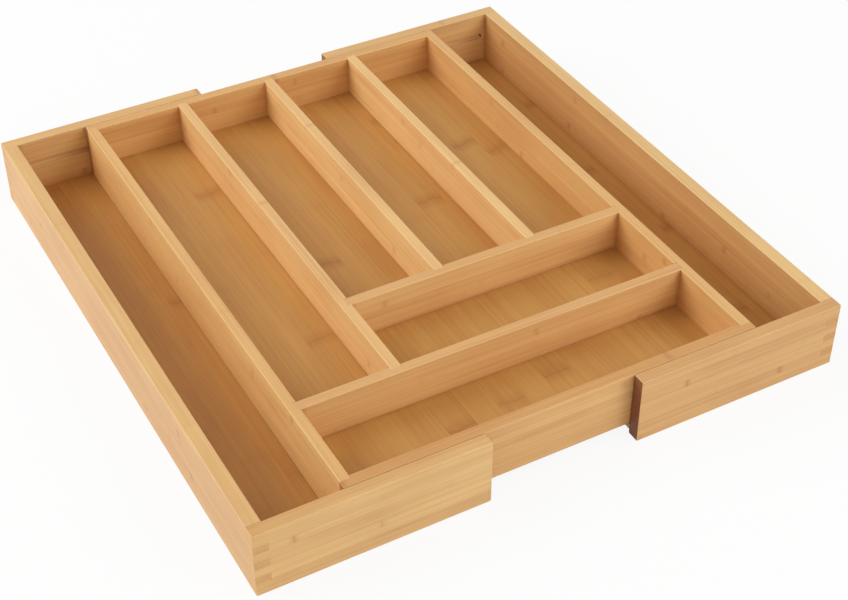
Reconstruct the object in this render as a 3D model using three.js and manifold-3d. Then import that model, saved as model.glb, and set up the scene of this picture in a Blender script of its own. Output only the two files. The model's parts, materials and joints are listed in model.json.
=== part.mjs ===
// Expandable bamboo cutlery tray: a middle tray of six compartments between two wings that pull out sideways.
// Millimetres. X runs across the tray, the way the wings slide, Y runs from the front to the back, and Z is up.
// The origin is on the ground under the middle of the tray, which is drawn with both wings pulled out.

import * as THREE from "three";
import { mergeVertices } from "three/addons/utils/BufferGeometryUtils.js";
import Module from "manifold-3d";

const wasm = await Module();
wasm.setup();

// Overall
const trayDepth = 450;
const trayHeight = 50;

// Middle tray
const columnCount = 4;
const columnWidth = 65;
const dividerThickness = 7.5;
const endWallThickness = 8;
const frontCellDepth = 64;
const middleCellDepth = 67;
const housingDepth = 2.5;

// Wings
const wingSideThickness = 10;
const wingEndThickness = 9;
const wingTravel = 52;
const pushedInGap = 0.5;
const meetingGap = 3.5;

// Running clearances between the middle tray and the wings
const endRunClearance = 0.5;
const floorRunClearance = 0.5;

// Floor panels, held in grooves round their edges
const floorGrooveDepth = 3;
const wingFloorThickness = 4;
const wingFloorLift = 3.5;
const middleFloorThickness = 4;
const middleFloorLift = 7;

// Guide pins of the middle tray, which run in stopped slots in the wings
const pinDiameter = 4;
const pinReach = 4;
const pinSeatDepth = 4;
const pinSeatClearance = 0.25;
const pinSetback = 6;
const pinHeight = 30;
const slotPlay = 0.4;
const slotEndClearance = 0.3;
const slotDepth = 4;
const roundSides = 32;

// Finger joints at the wings' outer corners
const fingerCount = 3;
const fingerHeightShare = 0.5;

// How far a cutter runs past the face that it opens
const cutOverrun = 2;

// Heights
const wingFloor = [wingFloorLift, wingFloorLift + wingFloorThickness];
const middleBottom = wingFloor[1] + floorRunClearance;
const middleFloorBottom = middleBottom + middleFloorLift;
const middleFloor = [middleFloorBottom, middleFloorBottom + middleFloorThickness];
const wallRise = [middleBottom, trayHeight];
const dividerRise = [middleFloor[1], trayHeight];
const dividerHousingRise = [middleFloor[1], trayHeight + cutOverrun];

// Places across the tray
const columnPitch = columnWidth + dividerThickness;
const middleHalfWidth = (columnCount * columnPitch + dividerThickness) / 2;
const wingInner = middleHalfWidth + pushedInGap;
const wingOuter = wingInner + wingSideThickness;
const wingFreeEnd = meetingGap / 2;
const pinX = middleHalfWidth - pinSetback;

// Places from front to back, as distances from the middle
const wingEndOuter = trayDepth / 2;
const wingEndInner = wingEndOuter - wingEndThickness;
const endWallOuter = wingEndInner - endRunClearance;
const endWallInner = endWallOuter - endWallThickness;
const housedEnd = endWallInner + housingDepth;

// The two crosswise dividers, each as its front and rear face
const frontCross = spanFrom(-endWallInner + frontCellDepth, dividerThickness);
const rearCross = spanFrom(frontCross[1] + middleCellDepth, dividerThickness);

// A span that starts at one value and has a length.
function spanFrom(start, length) {
  return [start, start + length];
}

// The span of upright number i across the tray: 0 is the left wall, columnCount is the right wall.
function uprightSpan(i) {
  return spanFrom(-middleHalfWidth + i * columnPitch, dividerThickness);
}

// A span given as distances from the middle, laid on the side that sign (-1 or 1) names, lowest value first.
function sideSpan(sign, near, far) {
  return sign < 0 ? [-far, -near] : [near, far];
}

// Solids

// A closed solid from a geometry, by its positions alone.
function solidFrom(geometry) {
  geometry.deleteAttribute("normal");
  geometry.deleteAttribute("uv");
  const merged = mergeVertices(geometry);
  return new wasm.Manifold(new wasm.Mesh({
    numProp: 3,
    vertProperties: merged.attributes.position.array,
    triVerts: new Uint32Array(merged.index.array),
  }));
}

// A box between three spans. Its corners take the spans' own values, so that neighbours meet face to face.
function block(spanX, spanY, spanZ) {
  const geometry = new THREE.BoxGeometry();
  const corners = geometry.attributes.position;
  const spans = [spanX, spanY, spanZ];
  for (let i = 0; i < corners.count; i += 1) {
    spans.forEach((span, axis) => {
      corners.setComponent(i, axis, corners.getComponent(i, axis) < 0 ? span[0] : span[1]);
    });
  }
  return solidFrom(geometry);
}

// A round bar along Y between two values of y.
function barAlongY(radius, x, spanY, z) {
  const geometry = new THREE.CylinderGeometry(radius, radius, spanY[1] - spanY[0], roundSides);
  geometry.translate(x, (spanY[0] + spanY[1]) / 2, z);
  return solidFrom(geometry);
}

// A slot cutter with round ends: its section lies in the XZ plane, and spanX holds the centres of its ends.
function slotAlongX(radius, spanX, spanY, z) {
  const section = new THREE.Shape();
  section.absarc(spanX[1], z, radius, -Math.PI / 2, Math.PI / 2);
  section.absarc(spanX[0], z, radius, Math.PI / 2, Math.PI * 3 / 2);
  const geometry = new THREE.ExtrudeGeometry(section, {
    depth: spanY[1] - spanY[0],
    bevelEnabled: false,
    curveSegments: roundSides / 2,
  });
  geometry.rotateX(Math.PI / 2);
  geometry.translate(0, spanY[1], 0);
  return solidFrom(geometry);
}

function cutAll(solid, cutters) {
  return cutters.reduce((rest, cutter) => rest.subtract(cutter), solid);
}

function bamboo(color, roughness) {
  return new THREE.MeshStandardMaterial({ color, roughness, metalness: 0 });
}

function piece(name, solid, color, roughness) {
  const mesh = solid.getMesh();
  const geometry = new THREE.BufferGeometry();
  geometry.setAttribute("position", new THREE.BufferAttribute(mesh.vertProperties, mesh.numProp));
  geometry.setIndex(new THREE.BufferAttribute(mesh.triVerts, 1));
  const result = new THREE.Mesh(geometry.toNonIndexed(), bamboo(color, roughness));
  result.geometry.computeVertexNormals();
  result.name = name;
  return result;
}

// Middle tray

const wallColor = "#d9a86e";
const dividerColor = "#d6a066";
const floorColor = "#bb8047";
const pinColor = "#c89a60";
const boardRoughness = 0.55;
const floorRoughness = 0.5;

const longCells = [frontCross[1], endWallInner];
const floorHalfWidth = middleHalfWidth - dividerThickness + floorGrooveDepth;
const floorHalfDepth = endWallInner + floorGrooveDepth;

// Front or back wall: sign is -1 for the front. It takes the floor, the side walls' ends and two guide pins,
// and uprights lists the dividers that end in it.
function middleEndWall(name, sign, uprights) {
  const width = [-middleHalfWidth, middleHalfWidth];
  const wall = block(width, sideSpan(sign, endWallInner, endWallOuter), wallRise);
  const floorGroove = block(
    [-floorHalfWidth, floorHalfWidth],
    sideSpan(sign, endWallInner - cutOverrun, floorHalfDepth),
    middleFloor,
  );
  const housingY = sideSpan(sign, endWallInner - cutOverrun, housedEnd);
  const sideHousingRise = [middleBottom - cutOverrun, trayHeight + cutOverrun];
  const leftHousing = block([-middleHalfWidth - cutOverrun, uprightSpan(0)[1]], housingY, sideHousingRise);
  const rightHousing = block([uprightSpan(columnCount)[0], middleHalfWidth + cutOverrun], housingY, sideHousingRise);
  const dividerHousings = uprights.map((i) => block(uprightSpan(i), housingY, dividerHousingRise));
  const pinSeatY = sideSpan(sign, endWallOuter - pinSeatDepth, endWallOuter + cutOverrun);
  const pinSeats = [-pinX, pinX].map((x) => barAlongY(pinDiameter / 2 + pinSeatClearance, x, pinSeatY, pinHeight));
  const cutters = [floorGroove, leftHousing, rightHousing, ...dividerHousings, ...pinSeats];
  return piece(name, cutAll(wall, cutters), wallColor, boardRoughness);
}

// Left or right wall: sign is -1 for the left. crossings lists the crosswise dividers that end in it.
function middleSideWall(name, sign, crossings) {
  const inner = middleHalfWidth - dividerThickness;
  const wall = block(sideSpan(sign, inner, middleHalfWidth), [-housedEnd, housedEnd], wallRise);
  const floorGroove = block(
    sideSpan(sign, inner - cutOverrun, floorHalfWidth),
    [-housedEnd - cutOverrun, housedEnd + cutOverrun],
    middleFloor,
  );
  const housingX = sideSpan(sign, inner - cutOverrun, inner + housingDepth);
  const housings = crossings.map((spanY) => block(housingX, spanY, dividerHousingRise));
  return piece(name, cutAll(wall, [floorGroove, ...housings]), wallColor, boardRoughness);
}

function middleFloorPanel() {
  const panel = block([-floorHalfWidth, floorHalfWidth], [-floorHalfDepth, floorHalfDepth], middleFloor);
  return piece("middle_floor_panel", panel, floorColor, floorRoughness);
}

// The crosswise divider behind the front compartment, from the left wall to the right wall.
function frontCrossDivider() {
  const reach = middleHalfWidth - dividerThickness + housingDepth;
  const board = block([-reach, reach], frontCross, dividerRise);
  const longHousing = block(
    uprightSpan(1),
    [frontCross[1] - housingDepth, frontCross[1] + cutOverrun],
    dividerHousingRise,
  );
  return piece("front_cross_divider", cutAll(board, [longHousing]), dividerColor, boardRoughness);
}

// The crosswise divider behind the middle compartment, from the long divider to the right wall.
function rearCrossDivider() {
  const left = uprightSpan(1)[1] - housingDepth;
  const right = middleHalfWidth - dividerThickness + housingDepth;
  const board = block([left, right], rearCross, dividerRise);
  const housingY = [rearCross[1] - housingDepth, rearCross[1] + cutOverrun];
  const housings = [2, 3].map((i) => block(uprightSpan(i), housingY, dividerHousingRise));
  return piece("rear_cross_divider", cutAll(board, housings), dividerColor, boardRoughness);
}

// The long divider on the left, from the front crosswise divider to the back wall.
function longDivider() {
  const span = uprightSpan(1);
  const board = block(span, [longCells[0] - housingDepth, housedEnd], dividerRise);
  const crossHousing = block([span[1] - housingDepth, span[1] + cutOverrun], rearCross, dividerHousingRise);
  return piece("long_divider", cutAll(board, [crossHousing]), dividerColor, boardRoughness);
}

// A short divider, from the rear crosswise divider to the back wall.
function shortDivider(name, i) {
  const board = block(uprightSpan(i), [rearCross[1] - housingDepth, housedEnd], dividerRise);
  return piece(name, board, dividerColor, boardRoughness);
}

// A guide pin: signX is -1 on the left, and signY is -1 at the front.
function guidePin(name, signX, signY) {
  const spanY = sideSpan(signY, endWallOuter - pinSeatDepth, endWallOuter + pinReach);
  return piece(name, barAlongY(pinDiameter / 2, signX * pinX, spanY, pinHeight), pinColor, boardRoughness);
}

function middleTray() {
  const group = new THREE.Group();
  group.add(
    middleEndWall("middle_front_wall", -1, []),
    middleEndWall("middle_back_wall", 1, [1, 2, 3]),
    middleSideWall("middle_left_wall", -1, [frontCross]),
    middleSideWall("middle_right_wall", 1, [frontCross, rearCross]),
    middleFloorPanel(),
    frontCrossDivider(),
    rearCrossDivider(),
    longDivider(),
    shortDivider("left_short_divider", 2),
    shortDivider("right_short_divider", 3),
    guidePin("front_left_guide_pin", -1, -1),
    guidePin("front_right_guide_pin", 1, -1),
    guidePin("back_left_guide_pin", -1, 1),
    guidePin("back_right_guide_pin", 1, 1),
  );
  return group;
}

// Wings, drawn pushed in and then moved out by their travel

const wingFloorOuter = wingInner + floorGrooveDepth;
const wingFloorHalfDepth = wingEndInner + floorGrooveDepth;
const fingerPitch = trayHeight / (fingerCount + 1);
const fingerHeight = fingerPitch * fingerHeightShare;

// The heights of the side board's fingers, lowest first.
function fingerSpans() {
  return Array.from({ length: fingerCount }, (_, i) => spanFrom((i + 1) * fingerPitch - fingerHeight / 2, fingerHeight));
}

// The heights between, below and above the fingers, which the front and back boards fill at the corners.
function socketSpans() {
  const fingers = fingerSpans();
  const lows = [-cutOverrun, ...fingers.map((span) => span[1])];
  const highs = [...fingers.map((span) => span[0]), trayHeight + cutOverrun];
  return lows.map((low, i) => [low, highs[i]]);
}

function wingSideBoard(name, sign) {
  const board = block(sideSpan(sign, wingInner, wingOuter), [-wingEndOuter, wingEndOuter], [0, trayHeight]);
  const socketX = sideSpan(sign, wingInner - cutOverrun, wingOuter + cutOverrun);
  const sockets = [-1, 1].flatMap((end) => {
    const socketY = sideSpan(end, wingEndInner, wingEndOuter + cutOverrun);
    return socketSpans().map((spanZ) => block(socketX, socketY, spanZ));
  });
  const floorGroove = block(
    sideSpan(sign, wingInner - cutOverrun, wingFloorOuter),
    [-wingEndInner - cutOverrun, wingEndInner + cutOverrun],
    wingFloor,
  );
  return piece(name, cutAll(board, [...sockets, floorGroove]), wallColor, boardRoughness);
}

// Front or back board of a wing: sign is -1 for the left wing, and end is -1 for the front.
function wingEndBoard(name, sign, end) {
  const boardY = sideSpan(end, wingEndInner, wingEndOuter);
  const board = block(sideSpan(sign, wingFreeEnd, wingOuter), boardY, [0, trayHeight]);
  const cornerX = sideSpan(sign, wingInner, wingOuter + cutOverrun);
  const cornerY = sideSpan(end, wingEndInner - cutOverrun, wingEndOuter + cutOverrun);
  const fingers = fingerSpans().map((spanZ) => block(cornerX, cornerY, spanZ));
  const floorGroove = block(
    sideSpan(sign, wingFreeEnd - cutOverrun, wingFloorOuter),
    sideSpan(end, wingEndInner - cutOverrun, wingFloorHalfDepth),
    wingFloor,
  );
  const slotX = sideSpan(sign, pinX - wingTravel - slotEndClearance, pinX + pushedInGap + slotEndClearance);
  const slotY = sideSpan(end, wingEndInner - cutOverrun, wingEndInner + slotDepth);
  const pinSlot = slotAlongX(pinDiameter / 2 + slotPlay, slotX, slotY, pinHeight);
  return piece(name, cutAll(board, [...fingers, floorGroove, pinSlot]), wallColor, boardRoughness);
}

function wingFloorPanel(name, sign) {
  const panel = block(
    sideSpan(sign, wingFreeEnd, wingFloorOuter),
    [-wingFloorHalfDepth, wingFloorHalfDepth],
    wingFloor,
  );
  return piece(name, panel, floorColor, floorRoughness);
}

function wing(side, sign) {
  const group = new THREE.Group();
  group.add(
    wingSideBoard(`${side}_wing_side_board`, sign),
    wingEndBoard(`${side}_wing_front_board`, sign, -1),
    wingEndBoard(`${side}_wing_back_board`, sign, 1),
    wingFloorPanel(`${side}_wing_floor_panel`, sign),
  );
  group.position.x = sign * wingTravel;
  return group;
}

const tray = new THREE.Group();
tray.add(middleTray(), wing("left", -1), wing("right", 1));

export default tray;
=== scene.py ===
"""Looks of an expandable bamboo cutlery tray: a divided middle tray between two wings that slide out.

Every board, panel and pin stands for its CAD node, in that node's own box, with the eased edges, the
joints and the finish of the real one. X runs across the tray, Y from the front to the back and Z up.
Sizes here are millimetres, and become metres where a mesh or a camera is made.
"""

import json
import math
from collections import namedtuple

import bpy
import numpy as np
from mathutils import Matrix, Vector
from mathutils.geometry import delaunay_2d_cdt

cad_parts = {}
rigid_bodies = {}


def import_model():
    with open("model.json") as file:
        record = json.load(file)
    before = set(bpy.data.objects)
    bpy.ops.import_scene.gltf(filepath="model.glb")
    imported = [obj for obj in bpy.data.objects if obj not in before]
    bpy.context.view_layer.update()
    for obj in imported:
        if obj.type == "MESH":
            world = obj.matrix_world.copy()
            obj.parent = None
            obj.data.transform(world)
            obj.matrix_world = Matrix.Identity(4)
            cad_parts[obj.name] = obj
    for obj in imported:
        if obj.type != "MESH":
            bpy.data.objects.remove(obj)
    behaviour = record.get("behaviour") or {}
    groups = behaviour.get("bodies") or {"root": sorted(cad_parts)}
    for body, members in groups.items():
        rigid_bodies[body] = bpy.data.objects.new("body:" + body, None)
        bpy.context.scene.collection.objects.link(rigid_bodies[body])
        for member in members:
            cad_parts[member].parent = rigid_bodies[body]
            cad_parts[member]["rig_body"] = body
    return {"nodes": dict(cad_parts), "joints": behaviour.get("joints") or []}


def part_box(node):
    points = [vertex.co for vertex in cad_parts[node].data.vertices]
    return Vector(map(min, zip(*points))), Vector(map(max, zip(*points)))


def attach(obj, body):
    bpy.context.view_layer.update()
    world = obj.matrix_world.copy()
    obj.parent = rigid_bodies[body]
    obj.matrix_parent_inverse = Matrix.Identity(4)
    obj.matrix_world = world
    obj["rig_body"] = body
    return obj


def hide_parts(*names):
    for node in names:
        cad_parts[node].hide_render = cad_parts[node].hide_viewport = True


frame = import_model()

MM = 0.001
X, Y, Z = 0, 1, 2
AXES = np.eye(3)
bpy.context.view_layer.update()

# Camera, fitted to the tray in the photograph: its place, its turn in degrees, its lens and sensor, and how
# near and how far it sees, in metres
CAMERA_PLACE = (-433.5, -825.9, 740.4)
CAMERA_AZIMUTH = -28.959
CAMERA_ELEVATION = 39.314
CAMERA_LENS = 70.456
CAMERA_SENSOR = 36.0
CAMERA_SEES = (0.01, 50.0)

# Boards: how far their edges are eased, the hairline that a glued joint shows, the rounding of the wings'
# free corners, and the smallest radius that a corner is drawn in to
EASE = 0.6
JOINT_EASE = 0.12
FREE_CORNER = 1.1
SHARPEST = 0.02

# How many steps a rounded corner and a rounded edge have, and the Delaunay mode that keeps the triangles
# inside an outline
ARC_STEPS = 4
EASE_STEPS = 4
INSIDE_ONLY = 1

# Angles of a rounded edge's steps, and how far each has risen on a quarter round of radius 1
QUARTER = np.linspace(0, math.pi / 2, EASE_STEPS + 1)
RISEN = 1 - np.cos(QUARTER)

# Finger joints of the wings: how many fingers, and how much of their spacing they take
FINGER_COUNT = 3
FINGER_SHARE = 0.5

# Pin slots in the wings' end boards: play round the pin, clearance past it at both ends, the gap left
# between a wing that is pushed in and the middle tray, the slot's depth and rounded rim, and the steps of
# its ends
SLOT_PLAY = 0.4
SLOT_END_CLEARANCE = 0.3
PUSHED_IN_GAP = 0.5
SLOT_DEPTH = 4.0
SLOT_RIM = 0.25
SLOT_ARC_STEPS = 12

# The wings' floor panels stop just short of their boards' free ends, which they share in the CAD
PANEL_SET_BACK = 0.25

# Guide pins: how far their ends are rounded, and how many sides they are drawn with
PIN_ROUNDING = 0.5
PIN_SIDES = 32

WALLS = ("middle_front_wall", "middle_back_wall", "middle_left_wall", "middle_right_wall")
PINS = ("front_left_guide_pin", "front_right_guide_pin", "back_left_guide_pin", "back_right_guide_pin")

# The boards that each upright board of the middle tray takes in its housings
HOUSED = {
    "middle_front_wall": ("middle_left_wall", "middle_right_wall"),
    "middle_back_wall": (
        "middle_left_wall",
        "middle_right_wall",
        "long_divider",
        "left_short_divider",
        "right_short_divider",
    ),
    "middle_left_wall": ("front_cross_divider",),
    "middle_right_wall": ("front_cross_divider", "rear_cross_divider"),
    "front_cross_divider": ("long_divider",),
    "rear_cross_divider": ("left_short_divider", "right_short_divider"),
    "long_divider": ("rear_cross_divider",),
    "left_short_divider": (),
    "right_short_divider": (),
}


def box_of(node):
    """Lowest and highest corner of a CAD node, in millimetres, as a 2 by 3 array."""
    return np.array([list(corner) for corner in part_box(node)]) / MM


# Outlines

def stepped_outline(low, high, notches, side_eases, radius):
    """Outline of a rectangle with square notches, walked anticlockwise from its lowest corner.

    Sides 0 to 3 are the bottom, right, top and left. A notch is (side, start, end, depth), with start and
    end as places along its side, and one that reaches a corner opens it. side_eases gives each side's
    easing at the plate's low and high face. Returns each corner's place and radius, and the eases of the
    run that follows it.
    """
    corners, radii, eases = [], [], []
    borders = []
    for side in range(4):
        along = side % 2
        forward = side < 2
        inward = 1 if side in (0, 3) else -1
        edge = (low if side in (0, 3) else high)[1 - along]
        ends = (low[along], high[along]) if forward else (high[along], low[along])
        steps = sorted(((s, e, d) for k, s, e, d in notches if k == side), reverse=not forward)
        levels = []
        for start, end, depth in steps:
            first, last = (start, end) if forward else (end, start)
            opens = (first <= ends[0]) if forward else (first >= ends[0])
            closes = (last >= ends[1]) if forward else (last <= ends[1])
            levels.append((first, last, depth, opens, closes))
        borders.append((along, inward, edge, ends, levels))
    for side, (along, inward, edge, ends, levels) in enumerate(borders):
        _, before_inward, before_edge, _, before_levels = borders[side - 1]
        before_depth = before_levels[-1][2] if before_levels and before_levels[-1][4] else 0.0
        opened = bool(levels) and levels[0][3]
        place = [0.0, 0.0]
        place[along] = before_edge + before_inward * before_depth
        place[1 - along] = edge + inward * (levels[0][2] if opened else 0.0)
        corners.append(place)
        plain = before_depth == 0.0 and not opened
        radii.append(radius if plain else JOINT_EASE)
        eases.append((JOINT_EASE, JOINT_EASE) if opened else side_eases[side])
        for first, last, depth, opens, closes in levels:
            turns = []
            if not opens:
                turns += [(first, 0.0, True), (first, depth, True)]
            if not closes:
                turns += [(last, depth, True), (last, 0.0, False)]
            for at, level, in_joint in turns:
                place = [0.0, 0.0]
                place[along] = at
                place[1 - along] = edge + inward * level
                corners.append(place)
                radii.append(JOINT_EASE)
                eases.append((JOINT_EASE, JOINT_EASE) if in_joint else side_eases[side])
    return np.array(corners, float), np.array(radii, float), np.array(eases, float)


def drawn_in(corners, radii, insets):
    """The outline with each run moved inwards by its own inset and its corners rounded, as an array.

    A corner moves to where its two runs now meet. Its arc is that point, less the radius times the sum of
    both runs' outward normals, plus the radius times the normal turned from the one to the other. The
    radius shrinks by the inset at an outer corner, and grows by it at an inner one.
    """
    ahead = np.roll(corners, -1, 0) - corners
    ahead /= np.linalg.norm(ahead, axis=1, keepdims=True)
    normal = np.stack([ahead[:, 1], -ahead[:, 0]], 1)
    normal_before = np.roll(normal, 1, 0)
    ahead_before = np.roll(ahead, 1, 0)
    turn = np.sign(ahead_before[:, 0] * ahead[:, 1] - ahead_before[:, 1] * ahead[:, 0])
    inset_before = np.roll(insets, 1)
    moved = corners - normal_before * inset_before[:, None] - normal * insets[:, None]
    outer = np.maximum(radii - np.maximum(insets, inset_before), SHARPEST)
    inner = radii + np.minimum(insets, inset_before)
    bend = (np.where(turn > 0, outer, inner) * turn)[:, None, None]
    angle = np.linspace(0, math.pi / 2, ARC_STEPS + 1)[None, :, None]
    swung = normal_before[:, None] * np.cos(angle) + normal[:, None] * np.sin(angle)
    points = moved[:, None] - bend * (normal_before + normal)[:, None] + bend * swung
    return points.reshape(-1, 2)


def inset_at(rise, ease):
    """How far a quarter-round edge of radius ease has drawn in at a height of rise over its flat face."""
    left = np.clip(ease - rise, 0, None)
    return ease - np.sqrt(ease**2 - left**2)


# Meshes

def filled(rings, facing_up):
    """Triangles that fill a flat ring of points, less a ring inside it: a Delaunay mesh held to both rings.

    facing_up says that the triangles turn left seen from above.
    """
    points = [Vector(point) for ring in rings for point in ring]
    counts = np.cumsum([0] + [len(ring) for ring in rings])
    loops = [list(range(a, b)) for a, b in zip(counts[:-1], counts[1:])]
    edges = [(a, b) for loop in loops for a, b in zip(loop, loop[1:] + loop[:1])]
    _, _, triangles, origins, _, _ = delaunay_2d_cdt(points, edges, loops[:1], INSIDE_ONLY, 0.0)
    first_origin = np.array([origin[0] for origin in origins])
    triangles = first_origin[np.array(triangles)]
    in_hole = (triangles >= counts[1]).all(1)
    triangles = triangles[~in_hole]
    return triangles if facing_up else triangles[:, ::-1]


def tube_quads(rows, columns, first=0):
    """Quads of a grid that closes on itself along its columns.

    Each turns left seen from outside, where the rows are rings that turn left and lie one over the other.
    """
    row, column = np.meshgrid(np.arange(rows - 1), np.arange(columns), indexing="ij")
    beside = (column + 1) % columns
    quads = np.stack([row * columns + column, row * columns + beside,
                      (row + 1) * columns + beside, (row + 1) * columns + column], -1)
    return quads.reshape(-1, 4) + first


def stadium(centre_u, ends_v, radius):
    """A slot's outline, walked anticlockwise: half turns of the radius round the centres of its two ends."""
    half = np.linspace(0, math.pi, SLOT_ARC_STEPS + 1)
    far = np.stack([centre_u + radius * np.cos(half), max(ends_v) + radius * np.sin(half)], 1)
    near = np.stack([centre_u - radius * np.cos(half), min(ends_v) - radius * np.sin(half)], 1)
    return np.concatenate([far, near])


def stacked(rings, heights):
    """The points of flat rings, each at its own height, ring after ring."""
    return np.concatenate([np.column_stack([ring, np.full(len(ring), h)]) for ring, h in zip(rings, heights)])


def board_rings(outline, low, high):
    """A board's rings and their heights, and which quads between them are part of a rounded edge or corner.

    At both faces the outline draws in along a quarter round, whose radius is each run's own easing.
    """
    corners, radii, eases = outline
    rises = EASE * RISEN
    rings = [drawn_in(corners, radii, inset_at(rise, eases[:, 0])) for rise in rises]
    rings += [drawn_in(corners, radii, inset_at(rise, eases[:, 1])) for rise in rises[::-1]]
    heights = np.concatenate([low + rises, high - rises[::-1]])
    columns = len(rings[0])
    on_arc = np.tile(np.arange(columns) % (ARC_STEPS + 1) < ARC_STEPS, len(rings) - 1)
    in_easing = np.repeat(np.arange(len(rings) - 1) != EASE_STEPS, columns)
    return rings, heights, on_arc | in_easing


def recess_rings(recess, low, high):
    """A recess's rings and their heights: down its rounded rim and its wall to its floor."""
    face, outline_at, radius, depth = recess
    rises = SLOT_RIM * RISEN
    rings = [outline_at(radius + inset_at(rise, SLOT_RIM)) for rise in rises] + [outline_at(radius)]
    drops = np.append(rises, depth)
    return rings, low + drops if face == "low" else high - drops


def plate_mesh(through, limits, outline, recess=None):
    """Vertices, faces and their smoothness for a flat board of any outline, in millimetres.

    The outline is carried through the board's thickness. through is the axis of the thickness: the outline's
    u and v are the next two axes in turn. recess is (the face it is in, its outline at a given radius, that
    radius, its depth).
    """
    low, high = limits[:, through]
    rings, heights, rounded = board_rings(outline, low, high)
    points = stacked(rings, heights)
    columns = len(rings[0])
    faces = tube_quads(len(rings), columns).tolist()
    smooth = rounded.tolist()
    borders = {"low": [(rings[0], 0)], "high": [(rings[-1], len(points) - columns)]}
    if recess:
        face = recess[0]
        hole, levels = recess_rings(recess, low, high)
        first, sides = len(points), len(hole[0])
        points = np.concatenate([points, stacked(hole, levels)])
        walls = tube_quads(len(hole), sides, first)
        walls = walls if face == "high" else walls[:, ::-1]
        floor = filled([hole[-1]], face == "high") + len(points) - sides
        faces += walls.tolist() + floor.tolist()
        smooth += [True] * len(walls) + [False] * len(floor)
        borders[face].append((hole[0], first))
    for face, rings_there in borders.items():
        index = np.concatenate([np.arange(len(ring)) + first for ring, first in rings_there])
        cap = index[filled([ring for ring, _ in rings_there], face == "high")]
        faces += cap.tolist()
        smooth += [False] * len(cap)
    places = np.empty_like(points)
    places[:, [(through + 1) % 3, (through + 2) % 3, through]] = points
    return places, faces, smooth


def pin_mesh(limits):
    """Vertices, faces and smoothness for a round pin along Y: its profile turned once round its axis.

    Towards both ends the radius falls along a quarter round.
    """
    centre = (limits[0] + limits[1]) / 2
    radius = (limits[1] - limits[0])[X] / 2
    drawn = PIN_ROUNDING * (1 - np.sin(QUARTER))
    rise = PIN_ROUNDING * RISEN
    radii = radius - np.concatenate([drawn, drawn[::-1]])
    along = np.concatenate([limits[0][Y] + rise, limits[1][Y] - rise[::-1]])
    around = np.arange(PIN_SIDES) * 2 * math.pi / PIN_SIDES
    ring = np.stack([np.sin(around), np.cos(around)], 1)
    xz = centre[[X, Z]] + radii[:, None, None] * ring
    y = np.broadcast_to(along[:, None, None], (len(along), PIN_SIDES, 1))
    places = np.concatenate([xz[..., :1], y, xz[..., 1:]], -1).reshape(-1, 3)
    faces = tube_quads(len(along), PIN_SIDES).tolist()
    smooth = [True] * len(faces) + [False, False]
    first_ring, last_ring = range(PIN_SIDES), range(len(places) - PIN_SIDES, len(places))
    faces += [first_ring[::-1], last_ring]
    return places, faces, smooth


def stand_for(node, mesh_parts, material):
    """Makes the piece that stands for a CAD node, on that node's body and in its material slot."""
    places, faces, smooth = mesh_parts
    mesh = bpy.data.meshes.new(node + "_surface")
    mesh.from_pydata((places * MM).tolist(), [], faces)
    mesh.polygons.foreach_set("use_smooth", smooth)
    mesh.materials.append(material)
    mesh.update()
    made = bpy.data.objects.new(node + "_bamboo", mesh)
    bpy.context.scene.collection.objects.link(made)
    body = frame["nodes"][node]["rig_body"]
    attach(made, body)
    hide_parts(node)


# Materials

def linear(hex_colour):
    """An sRGB hex colour as the linear red, green, blue and alpha that shaders take."""
    parts = [int(hex_colour[i:i + 2], 16) / 255 for i in (1, 3, 5)]
    return [p / 12.92 if p <= 0.04045 else ((p + 0.055) / 1.055) ** 2.4 for p in parts] + [1.0]


def add(tree, kind, inputs=(), **settings):
    """Adds a shader node. settings are its properties, and inputs are values or links for its sockets.

    The inputs are a dictionary by name, or a list for the sockets in use, in their order. A node among them
    stands for the first of its outputs that is in use.
    """
    made = tree.nodes.new("ShaderNode" + kind)
    for name, value in settings.items():
        setattr(made, name, value)
    if isinstance(inputs, dict):
        sockets = [made.inputs[name] for name in inputs]
        inputs = inputs.values()
    else:
        sockets = [socket for socket in made.inputs if socket.enabled]
    for socket, value in zip(sockets, inputs):
        if isinstance(value, bpy.types.Node):
            value = next(output for output in value.outputs if output.enabled)
        if isinstance(value, bpy.types.NodeSocket):
            tree.links.new(value, socket)
        else:
            socket.default_value = value
    return made


# The middle tone of each kind of board
WING_TONE = "#dbae72"
WALL_TONE = "#deae6f"
DIVIDER_TONE = "#e3b578"
PIN_TONE = "#c99a5e"
FLOOR_TONE = "#d09d55"

# A depth is a tone beside the middle one: under 1 is deeper and over 1 paler. These are the powers of it by
# which red, green, blue and alpha change
DEEPENING = (0.6, 1.1, 1.4, 0.0)

# Depths along a board's figure, each with its place there, and of knuckles, glue lines, pores, the painted
# shade in corners, and eased edges, painted paler for worn lacquer and a painted highlight
FIGURE_DEPTHS = ((0.1, 0.66), (0.38, 0.9), (0.62, 1.04), (0.9, 1.16))
KNUCKLE_DEPTH = 0.5
SEAM_DEPTH = 0.55
PORE_DEPTH = 0.28
CORNER_SHADE_DEPTH = 0.3
WORN_AND_LIT_DEPTH = 1.3

# Depths of sawn ends: plain ones, fingers sanded flush, and the wings' free ends, end grain with painted
# shade of the middle tray's shadow. The last is how much of the board's figure shows through on them
PLAIN_END = 0.5
FINGER_END = 0.92
SHADED_FREE_END = 0.08
END_FIGURE = 0.15

# How far the painted shade reaches out of a corner, and how much paler an eased edge is painted, for worn
# lacquer and a painted highlight
CORNER_SHADE_REACH = 5.0
EDGE_WEAR_AND_HIGHLIGHT = 0.6

# Bamboo is cut into strips 20 mm wide and 5.5 mm thick. Stacked flat on flat they make boards, and edge
# to edge they make panels
BOARD_STRIP = 5.5
FLOOR_STRIP = 20.0

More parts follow.
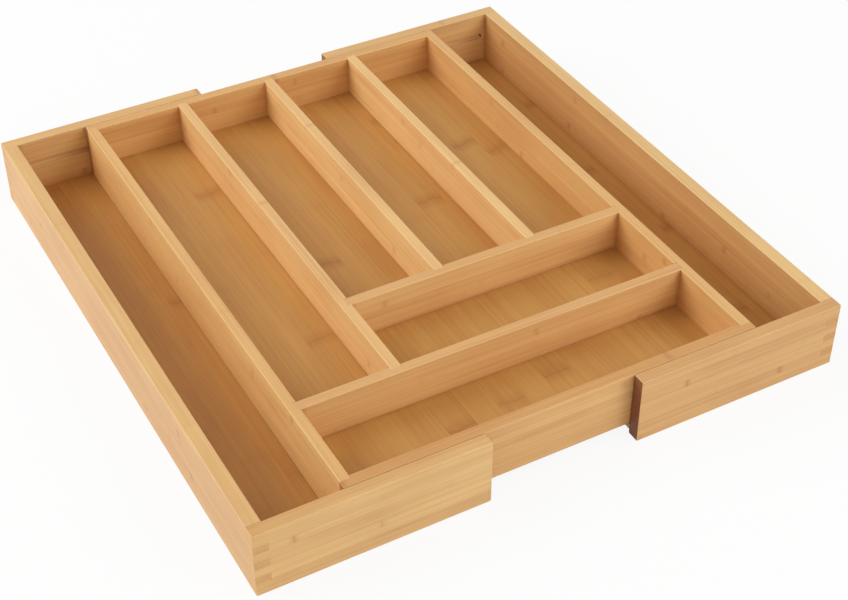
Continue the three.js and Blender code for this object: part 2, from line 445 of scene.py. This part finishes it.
# How much a board's strips differ in tone, and its knuckles' spacing, the size of their zone, and their
# strength
BOARD_VARIETY = 0.2
BOARD_KNUCKLES = (230.0, 4.5, 0.5)
FLOOR_VARIETY = 0.13
FLOOR_KNUCKLES = (190.0, 11.0, 0.6)

# Noises: the size of their grains along the fibres, across the strips and through them, their detail and
# their roughness. Real fibres are finer than 0.75 mm, and are drawn as coarse as the render shows them
FIBRES = ((70.0, 0.75, 0.75), 3.0, 0.62)
STREAKS = ((160.0, 2.6, 2.6), 2.0, 0.5)
PATCHES = ((80.0, 28.0, 28.0), 2.0, 0.5)

# How much each noise adds to the figure, and the middle of a noise
FIBRE_SHARE = 0.62
STREAK_SHARE = 0.5
PATCH_SHARE = 0.6
MIDDLE = 0.5

# What a seed does: it moves its board's pattern along the fibres and through them, in millimetres, and
# across in strips, starting again after so many seeds, and it changes the strips' random values. The last
# is how far apart the strips' own figures lie, in grains
SEED_ALONG = 37.0
SEED_ACROSS = 0.37
SEED_THROUGH = 11.0
SEED_TURNS = 7
SEED_CHANCE = 13.7
STRIP_SHIFT = 40.0

# Knuckles: how long their bow is, how wide and deep it is in strips, its noise's detail and roughness, how
# many are faint and how faint, how strong the zone round them is, and where their line fades out
BOW_LENGTH = 60.0
BOW_WIDTH = 0.7
BOW_DEPTH = 0.5
BOW_NOISE = (1.0, 0.5)
FAINT_KNUCKLES = 0.35
FAINTEST = 0.12
ZONE_STRENGTH = 0.8
LINE_EDGE = (0.2, 1.1)

# Glue lines: where they fade out, and the values of the streaks between which they go from faint to plain
SEAM_EDGE = (0.05, 0.4)
SEAM_STREAKS = (0.4, 0.6)
SEAM_STRENGTH = (0.06, 0.4)

# Dots of the fibre bundles on sawn ends: how many a millimetre along and across the fibres, where in its
# cell each fades out, and how strong they are
BUNDLE_SCALE = (0.02, 1.1, 1.1)
PORE_EDGE = (0.12, 0.42)
PORE_STRENGTH = 0.55

# Map Range nodes go from one level to the other in a soft curve, and stay between them
SOFT = {"interpolation_type": "SMOOTHSTEP", "clamp": True}

# How straight a surface faces an axis, with 1 for squarely: over what span it turns into a face, over
# what span an eased edge ends, and over what span one sawn end's tone becomes the other's
FACING = (0.55, 0.85)
EASED = (0.85, 0.99)
TURNING = (-0.1, 0.1)

# Relief of the surface, in millimetres, and what fibres, streaks, knuckles and glue lines share in it
RELIEF = 0.06
RELIEF_STRENGTH = 0.5
FIBRE_RELIEF = 0.5
STREAK_RELIEF = 0.4
LINE_RELIEF = 0.5
SEAM_RELIEF = -0.9

# Satin lacquer: its roughness, smoother on the harder fibres and rougher on sawn ends
ROUGHNESS = 0.54
FIBRE_ROUGHNESS = -0.12
SAWN_ROUGHNESS = 0.2

# Each board's own tones: how deep its faces are beside its kind's tone, how much lighter or darker its long
# edges are painted for how light and sheen fall on them, and how strongly shade is painted in its corners
BOARD_DEPTHS = {
    "middle_front_wall": (0.93, 0.75, 0.35),
    "middle_back_wall": (0.94, 0.9, 0.08),
    "middle_left_wall": (1.19, 1.0, 0.1),
    "middle_right_wall": (1.0, 1.03, 0.1),
    "front_cross_divider": (1.04, 0.9, 0.35),
    "rear_cross_divider": (1.1, 0.84, 0.35),
    "long_divider": (1.05, 1.04, 0.1),
    "left_short_divider": (1.15, 1.02, 0.1),
    "right_short_divider": (1.08, 1.07, 0.1),
    "left_wing_side_board": (0.96, 1.03, 0.1),
    "left_wing_front_board": (1.1, 0.95, 0.3),
    "left_wing_back_board": (1.0, 0.98, 0.3),
    "right_wing_side_board": (0.88, 1.16, 0.1),
    "right_wing_front_board": (0.92, 0.9, 0.3),
    "right_wing_back_board": (1.13, 1.02, 0.2),
    "middle_floor_panel": (0.92, 1.0, 0.12),
    "left_wing_floor_panel": (0.87, 1.0, 0.15),
    "right_wing_floor_panel": (0.9, 1.0, 0.3),
}


def deeper(colour, depth):
    """A linear colour made deeper, or paler where depth is over 1: blue goes first and red last."""
    return [part * depth**power for part, power in zip(colour, DEEPENING)]


# A strip's place across the board, counted in strips, its number, and the random values that are its own: its
# tone, where its knuckles begin, and how far its figure is moved
Strip = namedtuple("Strip", "place number tone knuckles shift")


def strip_at(tree, point, width, seed):
    """The strip at each point of a board: they lie side by side, each as wide as the next."""
    across = add(tree, "SeparateXYZ", [point]).outputs["Y"]
    place = add(tree, "Math", [across, 1 / width], operation="MULTIPLY")
    number = add(tree, "Math", [place], operation="FLOOR")
    own_number = add(tree, "Math", [number, seed * SEED_CHANCE], operation="ADD")
    chance = add(tree, "TexWhiteNoise", [own_number], noise_dimensions="1D")
    tone, knuckles, fibres = add(tree, "SeparateColor", [chance.outputs["Color"]]).outputs
    moved = add(tree, "Math", [fibres, STRIP_SHIFT], operation="MULTIPLY")
    shift = add(tree, "CombineXYZ", [moved, number])
    return Strip(place, number, tone, knuckles, shift)


def grains(tree, point, size, detail, rough, shift=None):
    """Noise from 0 to 1 with grains of the given size in millimetres, moved by a strip's own shift."""
    scaled = add(tree, "VectorMath", [point, [1 / s for s in size]], operation="MULTIPLY")
    if shift is not None:
        scaled = add(tree, "VectorMath", [scaled, shift], operation="ADD")
    return add(tree, "TexNoise", {"Vector": scaled, "Scale": 1.0, "Detail": detail, "Roughness": rough})


def figured(tree, strip, variety, shares, middle):
    """The colour of a board's figure: each strip's own tone, with noises that each have a share in it."""
    figure = add(tree, "Math", [strip.tone, variety, MIDDLE - variety / 2], operation="MULTIPLY_ADD")
    for noise, share in shares:
        swing = add(tree, "Math", [noise, MIDDLE], operation="SUBTRACT")
        figure = add(tree, "Math", [swing, share, figure], operation="MULTIPLY_ADD")
    toned = add(tree, "ValToRGB", [figure])
    elements = toned.color_ramp.elements
    while len(elements) < len(FIGURE_DEPTHS):
        elements.new(MIDDLE)
    for element, (place, depth) in zip(elements, FIGURE_DEPTHS):
        element.position = place
        element.color = deeper(middle, depth)
    return toned


def knuckle_marks(tree, point, strip, width, spacing, size, strength):
    """Where knuckles show: a reddish zone round a thin bowed line, at their own places in each strip."""
    bow_size = (BOW_LENGTH, width * BOW_WIDTH, width * BOW_WIDTH)
    bow = grains(tree, point, bow_size, *BOW_NOISE, strip.shift)
    along = add(tree, "SeparateXYZ", [point]).outputs["X"]
    bowed = add(tree, "Math", [bow, width * BOW_DEPTH, along], operation="MULTIPLY_ADD")
    spaced = add(tree, "Math", [bowed, 1 / spacing], operation="MULTIPLY")
    begun = add(tree, "Math", [spaced, strip.knuckles], operation="ADD")
    within = add(tree, "Math", [begun], operation="FRACT")
    past = add(tree, "Math", [within, MIDDLE], operation="SUBTRACT")
    off = add(tree, "Math", [past], operation="ABSOLUTE")
    away = add(tree, "Math", [off, spacing], operation="MULTIPLY")
    which = add(tree, "CombineXYZ", [strip.number, add(tree, "Math", [begun], operation="FLOOR")])
    chance = add(tree, "TexWhiteNoise", [which], noise_dimensions="3D")
    marked = add(tree, "MapRange", [chance, FAINT_KNUCKLES, 1.0, FAINTEST * strength, strength], **SOFT)
    near = add(tree, "MapRange", [away, 0.0, size, ZONE_STRENGTH, 0.0], **SOFT)
    inside = add(tree, "MapRange", [away, *LINE_EDGE, 1.0, 0.0], **SOFT)
    zone = add(tree, "Math", [near, marked], operation="MULTIPLY")
    line = add(tree, "Math", [inside, marked], operation="MULTIPLY")
    return zone, line


def glue_lines(tree, strip, width, streaks):
    """Where glue lines show between strips: a hairline, broken up by the streaks along its length."""
    within = add(tree, "Math", [strip.place], operation="FRACT")
    past = add(tree, "Math", [within, MIDDLE], operation="SUBTRACT")
    from_middle = add(tree, "Math", [past], operation="ABSOLUTE")
    in_strips = add(tree, "Math", [MIDDLE, from_middle], operation="SUBTRACT")
    from_seam = add(tree, "Math", [in_strips, width], operation="MULTIPLY")
    inside = add(tree, "MapRange", [from_seam, *SEAM_EDGE, 1.0, 0.0], **SOFT)
    broken = add(tree, "MapRange", [streaks, *SEAM_STREAKS, *SEAM_STRENGTH], **SOFT)
    return add(tree, "Math", [inside, broken], operation="MULTIPLY")


def painted_corner_shade(tree, coordinates, neighbours, strength):
    """Where shade is painted in the corners between boards.

    It is how near the nearest neighbour's box comes to the point that lies one reach off the surface.
    """
    plain = add(tree, "VectorMath", [coordinates.outputs["Object"], (1 / MM,) * 3], operation="MULTIPLY")
    reach = (CORNER_SHADE_REACH,) * 3
    ahead = add(tree, "VectorMath", [coordinates.outputs["Normal"], reach, plain], operation="MULTIPLY_ADD")
    nearest = CORNER_SHADE_REACH
    for low, high in neighbours:
        away = add(tree, "VectorMath", [ahead, (low + high) / 2], operation="SUBTRACT")
        off = add(tree, "VectorMath", [away], operation="ABSOLUTE")
        past = add(tree, "VectorMath", [off, (high - low) / 2], operation="SUBTRACT")
        outside = add(tree, "VectorMath", [past, (0.0, 0.0, 0.0)], operation="MAXIMUM")
        gap = add(tree, "VectorMath", [outside], operation="LENGTH")
        nearest = add(tree, "Math", [nearest, gap], operation="MINIMUM")
    return add(tree, "MapRange", [nearest, 0.0, CORNER_SHADE_REACH, strength, 0.0], **SOFT)


def worn_and_lit_edges(tree, normal):
    """Where eased edges are paler, worn and with a painted highlight: none of the three axes is square to
    them.
    """
    straight = add(tree, "VectorMath", [normal], operation="ABSOLUTE")
    x, y, z = add(tree, "SeparateXYZ", [straight]).outputs
    more = add(tree, "Math", [x, y], operation="MAXIMUM")
    most = add(tree, "Math", [more, z], operation="MAXIMUM")
    return add(tree, "MapRange", [most, *EASED, EDGE_WEAR_AND_HIGHLIGHT, 0.0], **SOFT)


def facing(tree, normal, axis):
    """Where a surface faces along an axis, one way or the other."""
    upward = add(tree, "VectorMath", [normal, AXES[axis]], operation="DOT_PRODUCT")
    straight = add(tree, "Math", [upward], operation="ABSOLUTE")
    return add(tree, "MapRange", [straight, *FACING], **SOFT)


def sawn_ends(tree, point, upward, middle, ends, colour):
    """The colour of the sawn ends: each with its own depth, a little of the figure, and the bundles' dots."""
    lower, upper = (deeper(middle, depth) for depth in ends)
    turned = add(tree, "MapRange", [upward, *TURNING], **SOFT)
    plain = add(tree, "Mix", [turned, lower, upper], data_type="RGBA")
    drawn = add(tree, "Mix", [END_FIGURE, plain, colour], data_type="RGBA")
    flattened = add(tree, "VectorMath", [point, BUNDLE_SCALE], operation="MULTIPLY")
    bundles = add(tree, "TexVoronoi", {"Vector": flattened, "Scale": 1.0}, feature="F1")
    pores = add(tree, "MapRange", [bundles, *PORE_EDGE, PORE_STRENGTH, 0.0], **SOFT)
    return add(tree, "Mix", [pores, drawn, deeper(middle, PORE_DEPTH)], data_type="RGBA")


def bamboo(name, grain, across, width, tone, seed, neighbours=(), depths=(1.0, 1.0, 0.0),
           variety=BOARD_VARIETY, knuckles=BOARD_KNUCKLES, ends=(PLAIN_END, PLAIN_END)):
    """Laminated bamboo, sanded and given a thin satin lacquer.

    The eye sees strips of slightly different tone side by side, each with long fibres, a reddish knuckle
    every 20 cm or so, a hairline of glue between strips and dark dots of the fibre bundles on sawn ends.
    Corners between boards take painted shade, and eased edges are paler: worn lacquer and a painted
    highlight.

    grain and across are axis numbers: the fibres run along the one, and the strips, of the given width, lie
    side by side on the other. neighbours are the boxes of the boards that it meets. depths are those of
    BOARD_DEPTHS. variety and knuckles are like BOARD_VARIETY and BOARD_KNUCKLES. ends are the depths of the
    sawn ends that face down and up the grain.
    """
    face_depth, edge_light_depth, corner_shade = depths
    middle = deeper(linear(tone), face_depth)
    material = bpy.data.materials.new(name)
    material.use_nodes = True
    tree = material.node_tree
    tree.nodes.clear()

    # Object coordinates turned and in millimetres: along the fibres, across the strips, and through them
    turned = Matrix([AXES[grain], AXES[across], np.cross(AXES[grain], AXES[across])])
    coordinates = add(tree, "TexCoord")
    normal = coordinates.outputs["Normal"]
    point = add(tree, "Mapping", {
        "Vector": coordinates.outputs["Object"],
        "Location": (SEED_ALONG * seed, SEED_ACROSS * width * (seed % SEED_TURNS), SEED_THROUGH * seed),
        "Rotation": turned.to_euler("XYZ"),
        "Scale": (1 / MM,) * 3,
    })

    # The figure, and what lies over it
    strip = strip_at(tree, point, width, seed)
    fibres = grains(tree, point, *FIBRES, strip.shift)
    streaks = grains(tree, point, *STREAKS, strip.shift)
    patches = grains(tree, point, *PATCHES)
    shares = ((fibres, FIBRE_SHARE), (streaks, STREAK_SHARE), (patches, PATCH_SHARE))
    zone, line = knuckle_marks(tree, point, strip, width, *knuckles)
    seam = glue_lines(tree, strip, width, streaks)
    colour = figured(tree, strip, variety, shares, middle)
    layers = [(zone, KNUCKLE_DEPTH), (line, SEAM_DEPTH), (seam, SEAM_DEPTH)]
    # Painted shade in the corners between boards, then eased edges painted paler, for worn lacquer and a
    # painted highlight
    if neighbours:
        layers.append((painted_corner_shade(tree, coordinates, neighbours, corner_shade), CORNER_SHADE_DEPTH))
    layers.append((worn_and_lit_edges(tree, normal), WORN_AND_LIT_DEPTH))
    for amount, depth in layers:
        colour = add(tree, "Mix", [amount, colour, deeper(middle, depth)], data_type="RGBA")

    # Long edges, where the surface faces across the strips, are painted lighter or darker for how light and
    # sheen fall on them
    painted_edge_light = deeper((1.0, 1.0, 1.0, 1.0), edge_light_depth / face_depth)
    lit_long_edge = facing(tree, normal, across)
    colour = add(tree, "Mix", [lit_long_edge, colour, painted_edge_light], data_type="RGBA", blend_type="MULTIPLY")

    # Sawn ends, where the surface faces along the fibres
    upward = add(tree, "VectorMath", [normal, AXES[grain]], operation="DOT_PRODUCT")
    sawn = facing(tree, normal, grain)
    end_colour = sawn_ends(tree, point, upward, middle, ends, colour)
    colour = add(tree, "Mix", [sawn, colour, end_colour], data_type="RGBA")

    # Fibres, knuckles and glue lines also stand a few hundredths of a millimetre proud or low
    height = add(tree, "Math", [streaks, STREAK_RELIEF], operation="MULTIPLY")
    for mark, share in ((fibres, FIBRE_RELIEF), (line, LINE_RELIEF), (seam, SEAM_RELIEF)):
        height = add(tree, "Math", [mark, share, height], operation="MULTIPLY_ADD")
    bump = add(tree, "Bump", {"Strength": RELIEF_STRENGTH, "Distance": RELIEF * MM, "Height": height})

    # The lacquer is smoother on the harder fibres, and soaks into sawn ends
    roughness = add(tree, "Math", [fibres, FIBRE_ROUGHNESS, ROUGHNESS], operation="MULTIPLY_ADD")
    roughness = add(tree, "Math", [sawn, SAWN_ROUGHNESS, roughness], operation="MULTIPLY_ADD")
    shader = add(tree, "BsdfPrincipled", {
        "Base Color": colour,
        "Roughness": roughness,
        "Normal": bump,
        "IOR": 1.48,
        "Specular IOR Level": 0.42,
        "Coat Weight": 0.1,
        "Coat Roughness": 0.35,
    })
    add(tree, "OutputMaterial", {"Surface": shader})
    return material


def met_by(node):
    """The boxes of the other boards and panels of a node's own body that touch its box."""
    low, high = box_of(node)
    body = frame["nodes"][node]["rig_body"]
    boards = [n for n in frame["nodes"] if n != node and n not in PINS]
    boxes = [box_of(n) for n in boards if frame["nodes"][n]["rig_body"] == body]
    return [b for b in boxes if (b[0] <= high + EASE).all() and (b[1] >= low - EASE).all()]


def board_material(node, grain, seed, ends=(PLAIN_END, PLAIN_END)):
    """Bamboo for an upright board, whose strips lie one over the other."""
    tone = WING_TONE if "wing" in node else WALL_TONE if node in WALLS else DIVIDER_TONE
    name = f"side_pressed_bamboo_{node}"
    depths = BOARD_DEPTHS[node]
    return bamboo(name, grain, Z, BOARD_STRIP, tone, seed, met_by(node), depths, ends=ends)


def floor_material(node, seed):
    """Bamboo for a floor panel, whose wide strips run from the front to the back."""
    name = f"flat_pressed_bamboo_{node}"
    looks = (BOARD_DEPTHS[node], FLOOR_VARIETY, FLOOR_KNUCKLES)
    return bamboo(name, Y, X, FLOOR_STRIP, FLOOR_TONE, seed, met_by(node), *looks)


# Middle tray

def housing(board, guest, long_axis):
    """The notch that a guest board's end needs in a board, seen from above: where their boxes overlap."""
    low = np.maximum(board[0], guest[0])
    high = np.minimum(board[1], guest[1])
    thin_axis = 1 - long_axis
    at_low = low[thin_axis] <= board[0][thin_axis]
    side = {(0, True): 0, (0, False): 2, (1, True): 3, (1, False): 1}[long_axis, bool(at_low)]
    return side, low[long_axis], high[long_axis], high[thin_axis] - low[thin_axis]


def upright_board(node, seed):
    """A wall or divider of the middle tray: its outline from above, with its housings, carried upwards."""
    limits = box_of(node)
    size = limits[1] - limits[0]
    long_axis = X if size[X] > size[Y] else Y
    notches = [housing(limits, box_of(guest), long_axis) for guest in HOUSED[node]]
    eased, glued = (EASE, EASE), (JOINT_EASE, JOINT_EASE)
    free_ends = node in WALLS[:2]
    end_ease = eased if free_ends else glued
    side_eases = [eased, end_ease, eased, end_ease] if long_axis == X else [end_ease, eased, end_ease, eased]
    corner_radius = EASE if free_ends else JOINT_EASE
    outline = stepped_outline(limits[0][:2], limits[1][:2], notches, side_eases, corner_radius)
    stand_for(node, plate_mesh(Z, limits, outline), board_material(node, long_axis, seed))


def floor_panel(node, limits, seed):
    """A floor panel: a plain rectangle, whose edges sit in the boards round it."""
    glued = [(JOINT_EASE, JOINT_EASE)] * 4
    outline = stepped_outline(limits[0][:2], limits[1][:2], [], glued, JOINT_EASE)
    stand_for(node, plate_mesh(Z, limits, outline), floor_material(node, seed))


# Wings

def finger_spans(height):
    """Heights of the side board's fingers, spaced evenly between the board's edges."""
    pitch = height / (FINGER_COUNT + 1)
    half = pitch * FINGER_SHARE / 2
    return [((i + 1) * pitch - half, (i + 1) * pitch + half) for i in range(FINGER_COUNT)]


def wing_side_board(node, end_node, sign, seed):
    """A wing's side board: its outline from the side, with fingers at both ends, carried through it."""
    limits = box_of(node)
    height = limits[1][Z]
    depth = np.ptp(box_of(end_node)[:, Y])
    fingers = finger_spans(height)
    lows = [-EASE] + [span[1] for span in fingers]
    highs = [span[0] for span in fingers] + [height + EASE]
    notches = [(side, low, high, depth) for side in (1, 3) for low, high in zip(lows, highs)]
    eased = (EASE, EASE)
    at_fingers = (EASE, JOINT_EASE) if sign < 0 else (JOINT_EASE, EASE)
    side_eases = [eased, at_fingers, eased, at_fingers]
    outline = stepped_outline(limits[0][1:], limits[1][1:], notches, side_eases, EASE)
    material = board_material(node, Y, seed, (FINGER_END, FINGER_END))
    stand_for(node, plate_mesh(X, limits, outline), material)


def wing_end_board(node, side_node, pin_node, sign, end, travel, seed):
    """A wing's front or back board: its outline, with sockets for the fingers, carried through it.

    sign is -1 for the left wing and 1 for the right one, and end is -1 for the front board and 1 for the
    back one.
    """
    limits = box_of(node)
    depth = np.ptp(box_of(side_node)[:, X])
    outer_side = 0 if sign < 0 else 2
    notches = [(outer_side, low, high, depth) for low, high in finger_spans(limits[1][Z])]
    eased = (EASE, EASE)
    at_fingers = (EASE, JOINT_EASE) if end < 0 else (JOINT_EASE, EASE)
    side_eases = [eased] * 4
    side_eases[outer_side] = at_fingers
    low, high = (limits[0][Z], limits[0][X]), (limits[1][Z], limits[1][X])
    corners, radii, eases = stepped_outline(low, high, notches, side_eases, EASE)
    free_x = limits[1][X] if sign < 0 else limits[0][X]
    radii[np.isclose(corners[:, 1], free_x)] = FREE_CORNER
    pin = box_of(pin_node)
    centre = pin.mean(0)
    radius = np.ptp(pin[:, Z]) / 2 + SLOT_PLAY
    inner_end = centre[X] - sign * SLOT_END_CLEARANCE
    outer_end = centre[X] + sign * (PUSHED_IN_GAP + SLOT_END_CLEARANCE + travel)

    def slot_outline(at_radius):
        return stadium(centre[Z], (inner_end, outer_end), at_radius)

    recess = ("high" if end < 0 else "low", slot_outline, radius, SLOT_DEPTH)
    # The wings' free ends are painted dark, as the shadow that the middle tray casts on them
    ends = (FINGER_END, SHADED_FREE_END) if sign < 0 else (SHADED_FREE_END, FINGER_END)
    material = board_material(node, X, seed, ends)
    stand_for(node, plate_mesh(Y, limits, (corners, radii, eases), recess), material)


def wing(side, sign, first_seed):
    """A wing's side board, front and back boards and floor panel."""
    travel = next(-j["range_m"][0] / MM for j in frame["joints"] if j["child"] == f"{side}_wing")
    side_node = f"{side}_wing_side_board"
    wing_side_board(side_node, f"{side}_wing_front_board", sign, first_seed)
    for i, (place, end) in enumerate((("front", -1), ("back", 1))):
        board = f"{side}_wing_{place}_board"
        pin = f"{place}_{side}_guide_pin"
        wing_end_board(board, side_node, pin, sign, end, travel, first_seed + 1 + i)
    limits = box_of(f"{side}_wing_floor_panel")
    free = 1 if sign < 0 else 0
    limits[free][X] += sign * PANEL_SET_BACK
    floor_panel(f"{side}_wing_floor_panel", limits, first_seed + 3)


# Studio

# Large round lamps: their directions as degrees from +X and over the floor, and their watts
LAMPS = (
    ("back_left_lamp", 150, 35, 50.0),
    ("front_right_lamp", 315, 35, 31.0),
    ("front_lamp", 270, 15, 12.0),
)

# How far away and how wide the lamps are, in metres
LAMP_DISTANCE = 2.6
LAMP_WIDTH = 2.0

# The room's light, and its white
ROOM_LIGHT = 0.32
WHITE = (1.0, 1.0, 1.0, 1.0)

# The floor: how white it looks by itself, its paper's colour, its half width in metres, and how many
# millimetres it lies under the tray, so that the two don't share a plane
FLOOR_GLOW = 0.9
PAPER_TONE = "#f4f3f1"
FLOOR_HALF = 4.0
FLOOR_DROP = 0.05


def lamp(name, azimuth, elevation, watts):
    """A round lamp that looks at the origin from a direction given in degrees."""
    around, up = math.radians(azimuth), math.radians(elevation)
    direction = np.array([math.cos(up) * math.cos(around), math.cos(up) * math.sin(around), math.sin(up)])
    data = bpy.data.lights.new(name, "AREA")
    data.shape = "DISK"
    data.size = LAMP_WIDTH
    data.energy = watts
    made = bpy.data.objects.new(name, data)
    bpy.context.scene.collection.objects.link(made)
    made.location = LAMP_DISTANCE * direction
    made.rotation_euler = (-made.location).to_track_quat("-Z", "Y").to_euler()


def camera():
    """The camera from which the photograph was taken, level from left to right."""
    data = bpy.data.cameras.new("camera")
    data.sensor_fit = "HORIZONTAL"
    data.sensor_width = CAMERA_SENSOR
    data.lens = CAMERA_LENS
    data.clip_start, data.clip_end = CAMERA_SEES
    made = bpy.data.objects.new("camera", data)
    made.location = [MM * p for p in CAMERA_PLACE]
    made.rotation_euler = (math.radians(90 - CAMERA_ELEVATION), 0, math.radians(CAMERA_AZIMUTH))
    bpy.context.scene.collection.objects.link(made)
    bpy.context.scene.camera = made


def seen_directly(tree):
    """1 where the camera or a glossy surface looks, and 0 where light only falls."""
    path = add(tree, "LightPath")
    looks = [path.outputs["Is Camera Ray"], path.outputs["Is Glossy Ray"]]
    return add(tree, "Math", looks, operation="MAXIMUM")


def studio():
    """A white floor in a white room, with a large soft lamp at the back left and two weaker ones in front."""
    world = bpy.data.worlds.new("studio")
    bpy.context.scene.world = world
    world.use_nodes = True
    tree = world.node_tree
    tree.nodes.clear()
    room = add(tree, "Background", {"Color": WHITE, "Strength": ROOM_LIGHT})
    backdrop = add(tree, "Background", {"Color": WHITE, "Strength": 1.0})
    mixed = add(tree, "MixShader", [seen_directly(tree), room, backdrop])
    add(tree, "OutputWorld", {"Surface": mixed})

    mesh = bpy.data.meshes.new("studio_floor")
    level = -FLOOR_DROP * MM
    corners = [(x * FLOOR_HALF, y * FLOOR_HALF, level) for x, y in ((-1, -1), (1, -1), (1, 1), (-1, 1))]
    mesh.from_pydata(corners, [], [(0, 1, 2, 3)])
    floor = bpy.data.objects.new("studio_floor", mesh)
    bpy.context.scene.collection.objects.link(floor)

    # Matt paper, which glows where it is looked at, so that it fades into the room, and is clear from below
    material = bpy.data.materials.new("matt_white_paper")
    material.use_nodes = True
    tree = material.node_tree
    tree.nodes.clear()
    paper = add(tree, "BsdfDiffuse", {"Color": linear(PAPER_TONE)})
    glow = add(tree, "Emission", {"Color": WHITE, "Strength": 1.0})
    share = add(tree, "Math", [seen_directly(tree), FLOOR_GLOW], operation="MULTIPLY")
    above = add(tree, "MixShader", [share, paper, glow])
    below = add(tree, "BsdfTransparent")
    from_below = add(tree, "NewGeometry").outputs["Backfacing"]
    one_sided = add(tree, "MixShader", [from_below, above, below])
    add(tree, "OutputMaterial", {"Surface": one_sided})
    mesh.materials.append(material)

    for name, azimuth, elevation, watts in LAMPS:
        lamp(name, azimuth, elevation, watts)


# The tray

# Seeds: each board, panel and pin has a pattern of its own, counted up from these
BOARD_SEED = 1
FLOOR_SEED = 12
PIN_SEED = 20
LEFT_WING_SEED = 30
RIGHT_WING_SEED = 40

camera()
for index, board in enumerate(HOUSED):
    upright_board(board, BOARD_SEED + index)
floor_panel("middle_floor_panel", box_of("middle_floor_panel"), FLOOR_SEED)
for index, pin in enumerate(PINS):
    turned = bamboo(f"turned_bamboo_{pin}", Y, Z, BOARD_STRIP, PIN_TONE, PIN_SEED + index)
    stand_for(pin, pin_mesh(box_of(pin)), turned)
wing("left", -1, LEFT_WING_SEED)
wing("right", 1, RIGHT_WING_SEED)
studio()
bpy.context.scene.view_settings.view_transform = "Standard"
